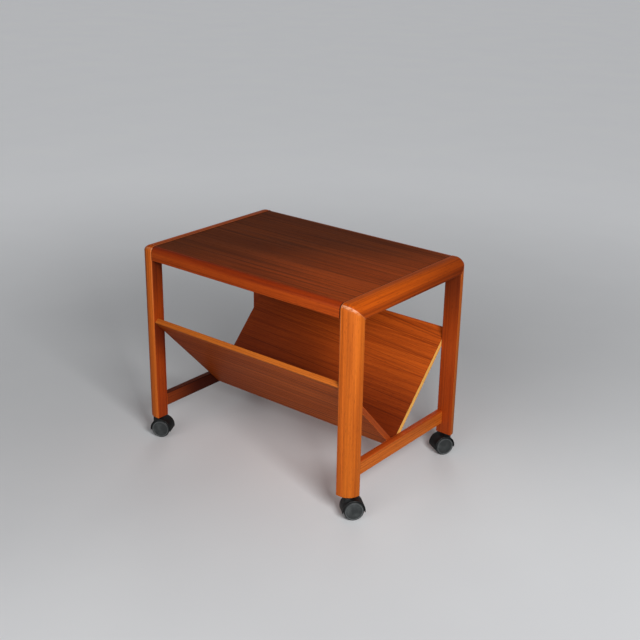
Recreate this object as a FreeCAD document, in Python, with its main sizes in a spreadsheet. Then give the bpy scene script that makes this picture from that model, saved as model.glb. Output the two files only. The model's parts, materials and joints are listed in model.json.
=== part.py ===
import FreeCAD, Part
import math
import os
import Sketcher

# A low teak table on four swivelling twin-wheel casters. Two end frames, each an inverted U of
# two legs, a mitred top rail and a low stretcher, carry a lipped table top and, below it, a
# V-shaped magazine rack. Millimetres; X along the table, Y from front to back, Z up from the
# floor, origin on the floor under the middle of the top.

DRIVING_SIZES = {
    # whole table
    "table_length": 600, "table_depth": 402, "table_height": 468,
    # legs and top rails share one section with a single large round on the outer edge
    "member_width": 39, "member_depth": 31, "member_round": 28, "corner_round": 13,
    "edge_ease": 2.5, "back_ease": 1.6, "foot_chamfer": 1.2,
    "tongue_thickness": 6, "tongue_width": 16, "tongue_length": 18, "tongue_inset": 13,
    # table top
    "top_drop": 1, "top_thickness": 30, "top_veneer": 0.8,
    "lipping_width": 14, "lipping_round": 12.7, "lipping_ease": 1.5,
    "top_dowel_radius": 4, "top_dowel_length": 30, "top_dowel_pitch": 120,
    # stretchers
    "stretcher_thickness": 14, "stretcher_height": 31, "stretcher_bottom": 75,
    "stretcher_ease": 1.2,
    "stretcher_dowel_radius": 3, "stretcher_dowel_length": 30, "stretcher_dowel_pitch": 14,
    # magazine rack
    "rack_tilt": 47, "rack_thickness": 12, "rack_inset": 1.5, "rack_lift": 2.5,
    "rack_veneer": 0.8, "rack_lipping": 7, "rack_ease": 1.2,
    "rack_dowel_radius": 3, "rack_dowel_length": 18, "rack_dowel_low": 22.5, "rack_dowel_drop": 18,
    # casters
    "caster_height": 51, "caster_trail": 11,
    "wheel_radius": 21, "wheel_width": 11.5, "wheel_shoulder": 2.5, "wheel_lip": 3, "wheel_dish": 0.9,
    "wheel_chamfer": 1, "wheel_bore_depth": 9.4, "wheel_side_gap": 0.6,
    "axle_radius": 2.5, "axle_length": 29, "running_gap": 0.05,
    "web_thickness": 11, "web_radius": 15,
    "hood_gap": 1.3, "hood_wall": 1.9, "hood_width": 33, "hood_skirt": 4, "hood_ease": 0.8,
    "hood_boss_radius": 10,
    "pin_radius": 3.5, "pin_length": 23, "pin_end_gap": 1, "swivel_gap": 0.1,
    "collar_radius": 6, "collar_thickness": 1,
    "shank_radius": 4, "shank_length": 26, "shank_chamfer": 1,
    "grip_depth": 0.7, "grip_width": 4, "grip_height": 13, "grip_angle": 330,
    "socket_radius": 5.5, "socket_length": 32, "flange_radius": 9, "flange_thickness": 1.4,
    # which way each caster trails at rest, in degrees from +X
    "turn_front_right": 50, "turn_back_right": -120, "turn_front_left": 28, "turn_back_left": -130,
}

SIDES = {"right": 1, "left": -1}
ENDS = {"front": -1, "back": 1}
WHEELS = {"wheel_a": 1, "wheel_b": -1}
# how far a cutting outline runs past the wood, and the largest share of an edge's rounding that the
# chamfer round the foot may take
CUT_MARGIN = 5.0
CHAMFER_SHARE = 0.8
SAME_LENGTH = 1e-6

doc = FreeCAD.newDocument("magazine_table")
sheet = doc.addObject("Spreadsheet::Sheet", "Sizes")
for row, (alias, number) in enumerate(DRIVING_SIZES.items(), start=1):
    sheet.set(f"A{row}", alias)
    sheet.set(f"B{row}", str(number))
    sheet.setAlias(f"B{row}", alias)
doc.recompute()

sub_parts = []


def cell(alias):
    """The expression that reads one driving size."""
    return f"Sizes.{alias}"


def times(factor, expression):
    """An expression scaled by a plain factor, such as the sign of a side."""
    return f"{factor} * ({expression})"


def value(expression):
    """What an expression comes to now, as a plain number."""
    return float(sheet.evalExpression(str(expression)))


# Places that several pieces share, as expressions on the sheet
X_OUT = "(Sizes.table_length / 2)"
X_IN = "(Sizes.table_length / 2 - Sizes.member_width)"
Y_OUT = "(Sizes.table_depth / 2)"
Y_IN = "(Sizes.table_depth / 2 - Sizes.member_depth)"
Z_FRAME_TOP = "Sizes.table_height"
Z_RAIL_BOTTOM = "(Sizes.table_height - Sizes.member_depth)"
Z_TOP = "(Sizes.table_height - Sizes.top_drop)"
Z_TOP_BOTTOM = f"({Z_TOP} - Sizes.top_thickness)"
Z_TOP_MIDDLE = f"({Z_TOP} - Sizes.top_thickness / 2)"
Y_LIPPING = f"({Y_OUT} - Sizes.lipping_width)"
X_TONGUE = f"({X_IN} + Sizes.tongue_inset)"
X_STRETCHER_MIDDLE = f"({X_IN} + Sizes.stretcher_thickness / 2)"
Z_STRETCHER_MIDDLE = "(Sizes.stretcher_bottom + Sizes.stretcher_height / 2)"
X_STEM = "(Sizes.table_length / 2 - Sizes.member_width / 2)"
Y_STEM = "(Sizes.table_depth / 2 - Sizes.member_depth / 2)"
Z_APEX = "(Sizes.stretcher_bottom + Sizes.rack_lift)"
COS_TILT = "cos(Sizes.rack_tilt * 1 deg)"
SIN_TILT = "sin(Sizes.rack_tilt * 1 deg)"
TAN_TILT = "tan(Sizes.rack_tilt * 1 deg)"
RACK_SLOPE = f"(({Y_OUT} - Sizes.rack_inset) / {COS_TILT})"
Z_FLANGE = "(Sizes.caster_height - Sizes.flange_thickness)"
Z_COLLAR = f"({Z_FLANGE} - Sizes.collar_thickness)"
Z_BOSS = f"({Z_COLLAR} - Sizes.swivel_gap)"
HOOD_INNER = "(Sizes.wheel_radius + Sizes.hood_gap)"
HOOD_OUTER = "(Sizes.wheel_radius + Sizes.hood_gap + Sizes.hood_wall)"


def keep(piece, label):
    """Names a finished sub-part, which also names its file."""
    piece.Label = label
    sub_parts.append(piece)
    return piece


def plain_body(name):
    """A body that goes into a group and isn't a sub-part of its own."""
    return doc.addObject("PartDesign::Body", name)


def new_body(label):
    return keep(plain_body(label), label)


def new_sketch(body, name, plane, offset="0"):
    """A sketch on one of the body's own origin planes, moved along the plane's normal."""
    sketch = body.newObject("Sketcher::SketchObject", f"{body.Name}_{name}")
    support = next(item for item in body.Origin.OriginFeatures if item.Role == plane)
    sketch.AttachmentSupport = [(support, "")]
    sketch.MapMode = "FlatFace"
    sketch.setExpression("AttachmentOffset.Base.z", str(offset))
    return sketch


def bind(sketch, kind, places, expression):
    """Adds one sized constraint and ties it to the sheet."""
    index = sketch.addConstraint(Sketcher.Constraint(kind, *places, value(expression)))
    sketch.setExpression(f"Constraints[{index}]", str(expression))


def place_point(sketch, geometry, position, corner):
    bind(sketch, "DistanceX", (geometry, position), corner[0])
    bind(sketch, "DistanceY", (geometry, position), corner[1])


def spot(corner):
    """Where a corner given by expressions lies now."""
    return FreeCAD.Vector(value(corner[0]), value(corner[1]), 0)


def draw_outline(sketch, corners, arcs=None):
    """A closed outline. A corner is (x, y), or (x, y, radius) where a tangent arc rounds it.
    arcs maps the number of a side to the centre of the arc that it follows instead of a line."""
    arcs = arcs or {}
    count = len(corners)
    points = [spot(corner) for corner in corners]
    entry, leave = list(points), list(points)
    for number, corner in enumerate(corners):
        if len(corner) == 3:
            back = (points[number - 1] - points[number]).normalize()
            ahead = (points[(number + 1) % count] - points[number]).normalize()
            reach = value(corner[2]) / math.tan(back.getAngle(ahead) / 2)
            entry[number] = points[number] + back * reach
            leave[number] = points[number] + ahead * reach
    sides = [draw_side(sketch, leave[n], entry[(n + 1) % count], arcs.get(n)) for n in range(count)]
    for number, corner in enumerate(corners):
        before, after = sides[number - 1], sides[number]
        if len(corner) == 3:
            round_corner(sketch, corner, before, after, entry[number], leave[number])
        else:
            sketch.addConstraint(Sketcher.Constraint("Coincident", *before[1], *after[0]))
            place_end(sketch, corner, after, arcs.get((number - 1) % count))
    for number, centre in arcs.items():
        place_point(sketch, sides[number][0][0], 3, centre)
    return sketch


def draw_side(sketch, start, end, centre):
    """One side of an outline; returns the constraint places of its start and end."""
    if centre is not None:
        return draw_arc(sketch, spot(centre), start, end)
    line = sketch.addGeometry(Part.LineSegment(start, end), False)
    return (line, 1), (line, 2)


def draw_arc(sketch, centre, start, end):
    """The shorter arc between two points; a sketch's own arcs always run anticlockwise."""
    first, last = start - centre, end - centre
    anticlockwise = first.cross(last).z > 0
    if not anticlockwise:
        first, last = last, first
    circle = Part.Circle(centre, FreeCAD.Vector(0, 0, 1), first.Length)
    ends = math.atan2(first.y, first.x), math.atan2(last.y, last.x)
    arc = sketch.addGeometry(Part.ArcOfCircle(circle, *ends), False)
    return ((arc, 1), (arc, 2)) if anticlockwise else ((arc, 2), (arc, 1))


def place_end(sketch, corner, after, arc_centre):
    """Places a sharp corner; one that ends an arc needs only the coordinate that the arc leaves."""
    if arc_centre is None:
        place_point(sketch, *after[0], corner)
        return
    spoke = spot(corner) - spot(arc_centre)
    if abs(spoke.x) < abs(spoke.y):
        bind(sketch, "DistanceX", after[0], corner[0])
    else:
        bind(sketch, "DistanceY", after[0], corner[1])


def round_corner(sketch, corner, before, after, entry, leave):
    """A tangent arc between two straight sides, whose lines still meet in the named corner."""
    tip, radius = spot(corner), value(corner[2])
    inward = ((entry + leave) * 0.5 - tip).normalize()
    centre = tip + inward * math.hypot((tip - entry).Length, radius)
    first, last = draw_arc(sketch, centre, entry, leave)
    sketch.addConstraint(Sketcher.Constraint("Tangent", *before[1], *first))
    sketch.addConstraint(Sketcher.Constraint("Tangent", *last, *after[0]))
    bind(sketch, "Radius", (first[0],), corner[2])
    mark = sketch.addGeometry(Part.Point(tip), True)
    place_point(sketch, mark, 1, corner)
    sketch.addConstraint(Sketcher.Constraint("PointOnObject", mark, 1, before[0][0]))
    sketch.addConstraint(Sketcher.Constraint("PointOnObject", mark, 1, after[0][0]))


def draw_circles(sketch, centres, radius):
    for centre in centres:
        circle = Part.Circle(spot(centre), FreeCAD.Vector(0, 0, 1), value(radius))
        place = sketch.addGeometry(circle, False)
        place_point(sketch, place, 3, centre)
        bind(sketch, "Radius", (place,), radius)
    return sketch


def add_pad(body, sketch, length, both_ways=False, backwards=False):
    pad = body.newObject("PartDesign::Pad", f"{sketch.Name}_pad")
    pad.Profile = sketch
    pad.SideType = "Symmetric" if both_ways else "One side"
    pad.Reversed = backwards
    pad.setExpression("Length", str(length))
    doc.recompute()
    return pad


def add_pocket(body, sketch, length=None, both_ways=False, backwards=False):
    """Cuts a sketch into the body, right through where no length is given."""
    before = body.Shape.Volume
    pocket = body.newObject("PartDesign::Pocket", f"{sketch.Name}_pocket")
    pocket.Profile = sketch
    pocket.SideType = "Symmetric" if both_ways else "One side"
    pocket.Reversed = backwards
    if length is None:
        pocket.Type = "ThroughAll"
    else:
        pocket.setExpression("Length", str(length))
    doc.recompute()
    if not body.Shape.Volume < before:
        raise RuntimeError(f"{pocket.Name} removed nothing")
    return pocket


def add_bores(body, name, plane, offset, centres, radius, depth, backwards=False):
    """Round blind holes of one size, drilled from one plane."""
    sketch = draw_circles(new_sketch(body, name, plane, offset), centres, radius)
    return add_pocket(body, sketch, depth, backwards=backwards)


def add_revolution(body, sketch, turn="360"):
    """Turns a profile about the vertical axis of its sketch, all the way round or part of it."""
    turned = body.newObject("PartDesign::Revolution", f"{sketch.Name}_turned")
    turned.Profile = sketch
    turned.ReferenceAxis = (sketch, ["V_Axis"])
    turned.setExpression("Angle", turn)
    doc.recompute()
    return turned


def add_box(label, low, size):
    """A plain rectangular sheet of wood, from its low corner and its three sizes."""
    box = keep(doc.addObject("Part::Box", label), label)
    for side, length in zip(("Length", "Width", "Height"), size):
        box.setExpression(side, length)
    for axis, place in zip("xyz", low):
        box.setExpression(f"Placement.Base.{axis}", place)
    return box


def add_group(label, members):
    """Identical small pieces that share one node, each its own solid."""
    group = keep(doc.addObject("Part::Compound", label), label)
    group.Links = members
    return group


def place_piece(piece, place, axis=None, angle=None):
    """Puts a piece at a place, turned about an axis where one is given."""
    if axis is not None:
        piece.Placement = FreeCAD.Placement(FreeCAD.Vector(), FreeCAD.Rotation(axis, 1.0))
        piece.setExpression("Placement.Rotation.Angle", f"({angle}) * 1 deg")
    for name, expression in zip("xyz", place):
        piece.setExpression(f"Placement.Base.{name}", str(expression))
    return piece


def dowel(name, radius, length, place, axis, angle):
    """One plain dowel that starts at its place and runs along a turned Z axis."""
    pin = doc.addObject("Part::Cylinder", name)
    pin.setExpression("Radius", radius)
    pin.setExpression("Height", length)
    return place_piece(pin, place, axis, angle)


X_AXIS = FreeCAD.Vector(1, 0, 0)
Y_AXIS = FreeCAD.Vector(0, 1, 0)
Z_AXIS = FreeCAD.Vector(0, 0, 1)
TOWARDS_X = (Y_AXIS, 90)
TOWARDS_Y = (X_AXIS, -90)


def corner_point(end, inward):
    """A point on the diagonal of the mitred corner, so far in from its sharp outer tip."""
    return times(end, f"{Y_OUT} - ({inward})"), f"{Z_FRAME_TOP} - ({inward})"


CORNER_CENTRE = "Sizes.corner_round"
CORNER_CROWN = "Sizes.corner_round * (1 - sqrt(0.5))"
CORNER_INNER = f"Sizes.member_depth + {CUT_MARGIN}"
CORNER_OUTER = f"{-CUT_MARGIN}"


def tongue_outline(end):
    """The loose tongue that locks a mitre: a rectangle set square across the joint."""
    along = "Sizes.tongue_width / 2 * sqrt(0.5)"
    across = "Sizes.tongue_length / 2 * sqrt(0.5)"
    middle = "Sizes.member_depth / 2"
    corners = []
    for sign_along, sign_across in ((1, 1), (1, -1), (-1, -1), (-1, 1)):
        in_y = f"{middle} + {sign_along} * {along} + {sign_across} * {across}"
        in_z = f"{middle} + {sign_along} * {along} - {sign_across} * {across}"
        corners.append((times(end, f"{Y_OUT} - ({in_y})"), f"{Z_FRAME_TOP} - ({in_z})"))
    return corners


def cut_tongue_slot(body, side, end_name):
    sketch = new_sketch(body, f"tongue_slot_{end_name}", "YZ_Plane", times(side, X_TONGUE))
    draw_outline(sketch, tongue_outline(ENDS[end_name]))
    add_pocket(body, sketch, cell("tongue_thickness"), both_ways=True)


def rack_point(end, along, inward):
    """A point of a rack panel: so far up the slope from the apex and so far in from its outer face."""
    across = times(end, f"({along}) * {COS_TILT} - ({inward}) * {SIN_TILT}")
    height = f"{Z_APEX} + ({along}) * {SIN_TILT} + ({inward}) * {COS_TILT}"
    return across, height


RACK_DOWELS = {"low": cell("rack_dowel_low"), "high": f"{RACK_SLOPE} - Sizes.rack_dowel_drop"}


def rack_dowel_point(end, level):
    return rack_point(end, RACK_DOWELS[level], "Sizes.rack_thickness / 2")


def stretcher_dowel_heights():
    return [f"{Z_STRETCHER_MIDDLE} + {sign} * Sizes.stretcher_dowel_pitch / 2" for sign in (-1, 1)]


def half(alias):
    return f"Sizes.{alias} / 2"


def make_leg(side_name, end_name):
    """A leg: one section with a big outer round, mitred and rounded over at the top."""
    side, end = SIDES[side_name], ENDS[end_name]
    leg = new_body(f"{end_name}_{side_name}_leg")
    x_in, x_out = times(side, X_IN), times(side, X_OUT)
    y_in, y_out = times(end, Y_IN), times(end, Y_OUT)
    section = draw_outline(new_sketch(leg, "section", "XY_Plane", cell("caster_height")), [
        (x_in, y_in, cell("back_ease")), (x_in, y_out, cell("edge_ease")),
        (x_out, y_out, cell("member_round")), (x_out, y_in, cell("back_ease"))])
    pad = add_pad(leg, section, "Sizes.table_height - Sizes.caster_height")
    lowest = min(range(len(pad.Shape.Faces)), key=lambda n: pad.Shape.Faces[n].CenterOfMass.z)
    foot = leg.newObject("PartDesign::Chamfer", f"{leg.Name}_foot")
    foot.Base = (pad, [f"Face{lowest + 1}"])
    foot.setExpression("Size", f"min(Sizes.foot_chamfer; {CHAMFER_SHARE} * Sizes.back_ease; "
                               f"{CHAMFER_SHARE} * Sizes.edge_ease)")
    doc.recompute()
    y_far, y_near = times(end, f"{Y_OUT} + {CUT_MARGIN}"), times(end, f"{Y_IN} - {CUT_MARGIN}")
    z_above = f"{Z_FRAME_TOP} + {CUT_MARGIN}"
    z_tangent = f"{Z_FRAME_TOP} - Sizes.corner_round"
    mitre = draw_outline(new_sketch(leg, "mitre", "YZ_Plane"), [
        corner_point(end, CORNER_INNER), corner_point(end, CORNER_CROWN), (y_out, z_tangent),
        (y_far, z_tangent), (y_far, z_above), (y_near, z_above)],
        arcs={1: corner_point(end, CORNER_CENTRE)})
    add_pocket(leg, mitre, both_ways=True)
    cut_tongue_slot(leg, side, end_name)
    add_bores(leg, "socket_bore", "XY_Plane", cell("caster_height"),
              [(times(side, X_STEM), times(end, Y_STEM))],
              cell("socket_radius"), cell("socket_length"), backwards=True)
    x_stretcher = times(side, X_STRETCHER_MIDDLE)
    add_bores(leg, "stretcher_bores", "XZ_Plane", times(-end, Y_IN),
              [(x_stretcher, height) for height in stretcher_dowel_heights()],
              cell("stretcher_dowel_radius"), half("stretcher_dowel_length"), backwards=end < 0)
    add_bores(leg, "rack_bore", "YZ_Plane", x_in, [rack_dowel_point(end, "high")],
              cell("rack_dowel_radius"), half("rack_dowel_length"), backwards=side > 0)


def top_dowel_places():
    return [f"{step} * Sizes.top_dowel_pitch" for step in (-1, 0, 1)]


def make_rail(side_name):
    """A top rail of the legs' section laid flat, mitred to a leg at each end."""
    side = SIDES[side_name]
    rail = new_body(f"{side_name}_top_rail")
    x_in, x_out = times(side, X_IN), times(side, X_OUT)
    section = draw_outline(new_sketch(rail, "section", "XZ_Plane"), [
        (x_in, Z_RAIL_BOTTOM, cell("back_ease")), (x_in, Z_FRAME_TOP, cell("edge_ease")),
        (x_out, Z_FRAME_TOP, cell("member_round")), (x_out, Z_RAIL_BOTTOM, cell("back_ease"))])
    add_pad(rail, section, cell("table_depth"), both_ways=True)
    z_above, z_below = f"{Z_FRAME_TOP} + {CUT_MARGIN}", f"{Z_RAIL_BOTTOM} - {CUT_MARGIN}"
    for end_name, end in ENDS.items():
        y_far = times(end, f"{Y_OUT} + {CUT_MARGIN}")
        y_tangent = times(end, f"{Y_OUT} - Sizes.corner_round")
        mitre = draw_outline(new_sketch(rail, f"mitre_{end_name}", "YZ_Plane"), [
            corner_point(end, CORNER_INNER), corner_point(end, CORNER_CROWN),
            (y_tangent, Z_FRAME_TOP), (y_tangent, z_above), (y_far, z_above), (y_far, z_below)],
            arcs={1: corner_point(end, CORNER_CENTRE)})
        add_pocket(rail, mitre, both_ways=True)
        cut_tongue_slot(rail, side, end_name)
    add_bores(rail, "top_bores", "YZ_Plane", x_in, [(y, Z_TOP_MIDDLE) for y in top_dowel_places()],
              cell("top_dowel_radius"), half("top_dowel_length"), backwards=side > 0)


def make_stretcher(side_name):
    """The low cross bar of an end frame, flush with the legs' inner faces."""
    side = SIDES[side_name]
    bar = new_body(f"{side_name}_stretcher")
    x_in = times(side, X_IN)
    x_out = times(side, f"{X_IN} + Sizes.stretcher_thickness")
    bottom, ease = cell("stretcher_bottom"), cell("stretcher_ease")
    top = "Sizes.stretcher_bottom + Sizes.stretcher_height"
    section = draw_outline(new_sketch(bar, "section", "XZ_Plane"), [
        (x_in, bottom, ease), (x_in, top, ease), (x_out, top, ease), (x_out, bottom, ease)])
    add_pad(bar, section, f"2 * {Y_IN}", both_ways=True)
    x_middle = times(side, X_STRETCHER_MIDDLE)
    for end_name, end in ENDS.items():
        add_bores(bar, f"{end_name}_bores", "XZ_Plane", times(-end, Y_IN),
                  [(x_middle, height) for height in stretcher_dowel_heights()],
                  cell("stretcher_dowel_radius"), half("stretcher_dowel_length"), backwards=end > 0)
    add_bores(bar, "rack_bores", "YZ_Plane", x_in,
              [rack_dowel_point(end, "low") for end in ENDS.values()],
              cell("rack_dowel_radius"), half("rack_dowel_length"), backwards=side > 0)


def make_table_top():
    """A veneered board between the top rails, with solid lippings along its front and back."""
    length, half_length = f"2 * {X_IN}", times(-1, X_IN)
    width, half_width = f"2 * {Y_LIPPING}", times(-1, Y_LIPPING)
    core = new_body("top_core")
    y_back = Y_LIPPING
    z_low = f"{Z_TOP_BOTTOM} + Sizes.top_veneer"
    z_high = f"{Z_TOP} - Sizes.top_veneer"
    section = draw_outline(new_sketch(core, "section", "YZ_Plane"), [
        (half_width, z_low), (y_back, z_low), (y_back, z_high), (half_width, z_high)])
    add_pad(core, section, length, both_ways=True)
    for side_name, side in SIDES.items():
        add_bores(core, f"{side_name}_bores", "YZ_Plane", times(side, X_IN),
                  [(y, Z_TOP_MIDDLE) for y in top_dowel_places()],
                  cell("top_dowel_radius"), half("top_dowel_length"), backwards=side < 0)
    sheet_size = (length, width, cell("top_veneer"))
    add_box("top_face_veneer", (half_length, half_width, z_high), sheet_size)
    add_box("top_underside_veneer", (half_length, half_width, Z_TOP_BOTTOM), sheet_size)
    for end_name, end in ENDS.items():
        lipping = new_body(f"{end_name}_edge_lipping")
        y_in, y_out = times(end, Y_LIPPING), times(end, Y_OUT)
        profile = draw_outline(new_sketch(lipping, "profile", "YZ_Plane"), [
            (y_in, Z_TOP_BOTTOM), (y_out, Z_TOP_BOTTOM, cell("lipping_ease")),
            (y_out, Z_TOP, cell("lipping_round")), (y_in, Z_TOP)])
        add_pad(lipping, profile, length, both_ways=True)


def rack_layer(end, inner, outer, start, stop, ease=()):
    """Outline of one layer of a rack panel; the lower end follows the upright mitre at the apex, and
    the corners of the upper end are rounded where a radius is given."""
    low_in = f"({inner}) * {TAN_TILT}" if start is None else start
    low_out = f"({outer}) * {TAN_TILT}" if start is None else start
    return [rack_point(end, low_in, inner), (*rack_point(end, stop, inner), *ease),
            (*rack_point(end, stop, outer), *ease), rack_point(end, low_out, outer)]


def make_rack_panel(end_name):
    """One sloping panel of the rack: core, a veneer on each face and a solid top lipping."""
    end = ENDS[end_name]
    length = f"2 * {X_IN}"
    veneer, thickness = cell("rack_veneer"), cell("rack_thickness")
    body_end = f"{RACK_SLOPE} - Sizes.rack_lipping"
    layers = {
        "core": (veneer, f"{thickness} - {veneer}", None, body_end),
        "outer_veneer": ("0", veneer, None, body_end),
        "inner_veneer": (f"{thickness} - {veneer}", thickness, None, body_end),
        "top_lipping": ("0", thickness, body_end, RACK_SLOPE, (cell("rack_ease"),)),
    }
    for layer, extent in layers.items():
        piece = new_body(f"{end_name}_rack_{layer}")
        profile = draw_outline(new_sketch(piece, "profile", "YZ_Plane"), rack_layer(end, *extent))
        add_pad(piece, profile, length, both_ways=True)
        if layer == "core":
            for side_name, side in SIDES.items():
                add_bores(piece, f"{side_name}_bores", "YZ_Plane", times(side, X_IN),
                          [rack_dowel_point(end, level) for level in RACK_DOWELS],
                          cell("rack_dowel_radius"), half("rack_dowel_length"), backwards=side < 0)


def make_joint_pieces():
    """Loose tongues in the mitres and dowels in the butt joints, each kind one group."""
    tongues, stretcher_dowels, top_dowels, rack_dowels = [], [], [], []
    for side_name, side in SIDES.items():
        x_rack = f"{times(side, X_IN)} - Sizes.rack_dowel_length / 2"
        x_top = f"{times(side, X_IN)} - Sizes.top_dowel_length / 2"
        for end_name, end in ENDS.items():
            corner = f"{end_name}_{side_name}"
            tongue = plain_body(f"tongue_{corner}")
            outline = new_sketch(tongue, "outline", "YZ_Plane", times(side, X_TONGUE))
            draw_outline(outline, tongue_outline(end))
            add_pad(tongue, outline, cell("tongue_thickness"), both_ways=True)
            tongues.append(tongue)
            y_start = f"{times(end, Y_IN)} - Sizes.stretcher_dowel_length / 2"
            for height in stretcher_dowel_heights():
                place = (times(side, X_STRETCHER_MIDDLE), y_start, height)
                stretcher_dowels.append(dowel(f"stretcher_dowel_{corner}", cell("stretcher_dowel_radius"),
                                              cell("stretcher_dowel_length"), place, *TOWARDS_Y))
            for level in RACK_DOWELS:
                place = (x_rack, *rack_dowel_point(end, level))
                rack_dowels.append(dowel(f"rack_dowel_{corner}", cell("rack_dowel_radius"),
                                         cell("rack_dowel_length"), place, *TOWARDS_X))
        for y in top_dowel_places():
            top_dowels.append(dowel(f"top_dowel_{side_name}", cell("top_dowel_radius"),
                                    cell("top_dowel_length"), (x_top, y, Z_TOP_MIDDLE), *TOWARDS_X))
    add_group("mitre_tongues", tongues)
    add_group("stretcher_dowels", stretcher_dowels)
    add_group("top_dowels", top_dowels)
    add_group("rack_dowels", rack_dowels)


def turned_piece(name, profile, place, turn):
    """A piece turned on a lathe: a profile of radius and height about an upright axis."""
    piece = plain_body(name)
    add_revolution(piece, draw_outline(new_sketch(piece, "profile", "XZ_Plane"), profile), turn)
    return place_piece(piece, place)


def make_stem_pieces():
    """In each leg a flanged sleeve, and in it the caster's stem, held by a split grip ring."""
    z_sleeve_top = "Sizes.caster_height + Sizes.socket_length"
    z_shank_top = f"{Z_FLANGE} + Sizes.shank_length"
    z_grip = f"{Z_FLANGE} + Sizes.grip_height"
    z_grip_top = f"{z_grip} + Sizes.grip_width"
    shank, groove = cell("shank_radius"), "Sizes.shank_radius - Sizes.grip_depth"
    sleeve = [(shank, Z_FLANGE), (cell("flange_radius"), Z_FLANGE),
              (cell("flange_radius"), cell("caster_height")),
              (cell("socket_radius"), cell("caster_height")),
              (cell("socket_radius"), z_sleeve_top), (shank, z_sleeve_top)]
    stem = [("0", f"{Z_COLLAR} - Sizes.pin_length"),
            (cell("pin_radius"), f"{Z_COLLAR} - Sizes.pin_length"),
            (cell("pin_radius"), Z_COLLAR), (cell("collar_radius"), Z_COLLAR),
            (cell("collar_radius"), Z_FLANGE), (shank, Z_FLANGE),
            (shank, z_grip), (groove, z_grip), (groove, z_grip_top), (shank, z_grip_top),
            (shank, f"{z_shank_top} - Sizes.shank_chamfer"),
            ("Sizes.shank_radius - Sizes.shank_chamfer", z_shank_top), ("0", z_shank_top)]
    ring = [(groove, z_grip), (shank, z_grip), (shank, z_grip_top), (groove, z_grip_top)]
    groups = {"caster_sockets": (sleeve, "360"), "caster_stems": (stem, "360"),
              "stem_grip_rings": (ring, cell("grip_angle"))}
    for label, (profile, turn) in groups.items():
        members = [turned_piece(f"{label}_{end_name}_{side_name}", profile,
                                (times(side, X_STEM), times(end, Y_STEM), "0"), turn)
                   for side_name, side in SIDES.items() for end_name, end in ENDS.items()]
        add_group(label, members)


def place_caster_piece(piece, side_name, end_name):
    """Puts a piece drawn about its axle at the caster's place and turns it the way it trails."""
    turn = cell(f"turn_{end_name}_{side_name}")
    x_stem, y_stem = times(SIDES[side_name], X_STEM), times(ENDS[end_name], Y_STEM)
    place = (f"{x_stem} + Sizes.caster_trail * cos({turn} * 1 deg)",
             f"{y_stem} + Sizes.caster_trail * sin({turn} * 1 deg)", cell("wheel_radius"))
    place_piece(piece, place, Z_AXIS, turn)


def draw_arch(sketch, radius, drop):
    """A half-round arch whose two sides run straight down past the axle."""
    middle = ("0", "0")
    left, low = times(-1, radius), times(-1, drop)
    return draw_outline(sketch, [(left, low), (radius, low), (radius, "0"), ("0", radius), (left, "0")],
                        arcs={2: middle, 3: middle})


def make_hood(label):
    """The moulded hood: an arched roof over both wheels, a web between them and a stem boss."""
    hood = new_body(label)
    middle = ("0", "0")
    roof = draw_arch(new_sketch(hood, "roof", "XZ_Plane"), HOOD_OUTER, cell("hood_skirt"))
    add_pad(hood, roof, cell("hood_width"), both_ways=True)
    web = draw_circles(new_sketch(hood, "web", "XZ_Plane"), [middle], cell("web_radius"))
    add_pad(hood, web, cell("web_thickness"), both_ways=True)
    stem_spot = (times(-1, cell("caster_trail")), "0")
    boss_top = f"{Z_BOSS} - Sizes.wheel_radius"
    boss = draw_circles(new_sketch(hood, "boss", "XY_Plane", boss_top), [stem_spot],
                        cell("hood_boss_radius"))
    add_pad(hood, boss, boss_top, backwards=True)
    for wheel, sign in WHEELS.items():
        chamber = new_sketch(hood, f"chamber_{wheel}", "XZ_Plane", times(-sign, half("web_thickness")))
        add_pocket(hood, draw_arch(chamber, HOOD_INNER, f"Sizes.hood_skirt + {CUT_MARGIN}"), backwards=sign < 0)
    axle_hole = draw_circles(new_sketch(hood, "axle_hole", "XZ_Plane"), [middle], cell("axle_radius"))
    add_pocket(hood, axle_hole, both_ways=True)
    last = add_bores(hood, "stem_hole", "XY_Plane", boss_top, [stem_spot],
                     "Sizes.pin_radius + Sizes.running_gap", "Sizes.pin_length + Sizes.pin_end_gap")
    rim_edges = [f"Edge{number}" for number, edge in enumerate(last.Shape.Edges, start=1)
                 if is_rim(edge, value(HOOD_OUTER), value(half("hood_width")))]
    ease = hood.newObject("PartDesign::Fillet", f"{hood.Name}_ease")
    ease.Base = (last, rim_edges)
    ease.setExpression("Radius", cell("hood_ease"))
    doc.recompute()
    return hood


def is_rim(edge, radius, side):
    """Whether an edge is part of the hood's outer rim on one of its two open sides."""
    if not isinstance(edge.Curve, Part.Circle):
        return False
    on_radius = abs(edge.Curve.Radius - radius) < SAME_LENGTH
    return on_radius and abs(abs(edge.CenterOfMass.y) - side) < SAME_LENGTH


def make_wheel(label, sign):
    """A wheel turned about its axle: rounded shoulder, raised lip and a flat disc sunk inside it."""
    wheel = new_body(label)
    radius, bore = cell("wheel_radius"), "Sizes.axle_radius + Sizes.running_gap"
    inner = "Sizes.web_thickness / 2 + Sizes.wheel_side_gap"
    outer = f"{inner} + Sizes.wheel_width"
    lip = "Sizes.wheel_radius - Sizes.wheel_lip"
    dish = f"{outer} - Sizes.wheel_dish"
    chamfer = cell("wheel_chamfer")
    bore_end = f"{inner} + Sizes.wheel_bore_depth"
    profile = [(bore, inner), (f"{radius} - {chamfer}", inner), (radius, f"{inner} + {chamfer}"),
               (radius, outer, cell("wheel_shoulder")), (lip, outer), (lip, dish), ("0", dish),
               ("0", bore_end), (bore, bore_end)]
    corners = [(corner[0], times(sign, corner[1]), *corner[2:]) for corner in profile]
    add_revolution(wheel, draw_outline(new_sketch(wheel, "profile", "XY_Plane"), corners))
    return wheel


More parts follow.
